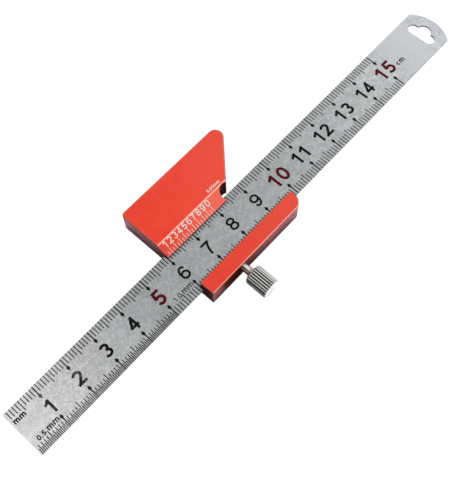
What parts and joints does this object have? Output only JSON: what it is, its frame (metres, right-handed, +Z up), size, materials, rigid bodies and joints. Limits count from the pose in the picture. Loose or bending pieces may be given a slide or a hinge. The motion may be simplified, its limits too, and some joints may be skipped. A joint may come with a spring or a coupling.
{
  "type": "marking gauge",
  "caption": "Steel rule marking gauge: a graduated rule slides through an anodised stop block with a 90 degree fence, a 45 degree face and a vernier, and a knurled thumb screw locks it.",
  "frame": {"origin": "centre of the rule's square zero end, at half its thickness", "axes": "+X along the rule's scale away from its zero end, +Y towards the vernier side of the rule, +Z up from the graduated face; the thumb screw stands on the -Y side"},
  "size_m": [0.175, 0.0459, 0.0078],
  "materials": {
    "rule_steel": "satin stainless steel, finely mottled",
    "anodised_block": "red anodised over a fine blasted surface, brighter on the cut edges",
    "plated_screw": "nickel plate over a coarse straight knurl",
    "brass_pad": "turned brass"
  },
  "bodies": {
    "rule": {"steel_rule": "rule_steel"},
    "slider": {"slider_body": "anodised_block"},
    "pad": {"pressure_pad": "brass_pad"},
    "screw": {"thumb_screw": "plated_screw"}
  },
  "joints": [
    {"name": "slider_travel", "type": "slide", "parent": "rule", "child": "slider", "axis": [1, 0, 0], "range_m": [-0.06, 0.09]},
    {"name": "clamp_travel", "type": "slide", "parent": "slider", "child": "pad", "axis": [0, -1, 0], "range_m": [0, 0.001]},
    {"name": "screw_turn", "type": "hinge", "parent": "pad", "child": "screw", "pos_m": [0.07245, -0.015, 0], "axis": [0, -1, 0], "range_deg": [0, 720]}
  ],
  "couplings": [
    {"joint": "screw_turn", "follows": "clamp_travel", "rad_per_m": 12566}
  ]
}
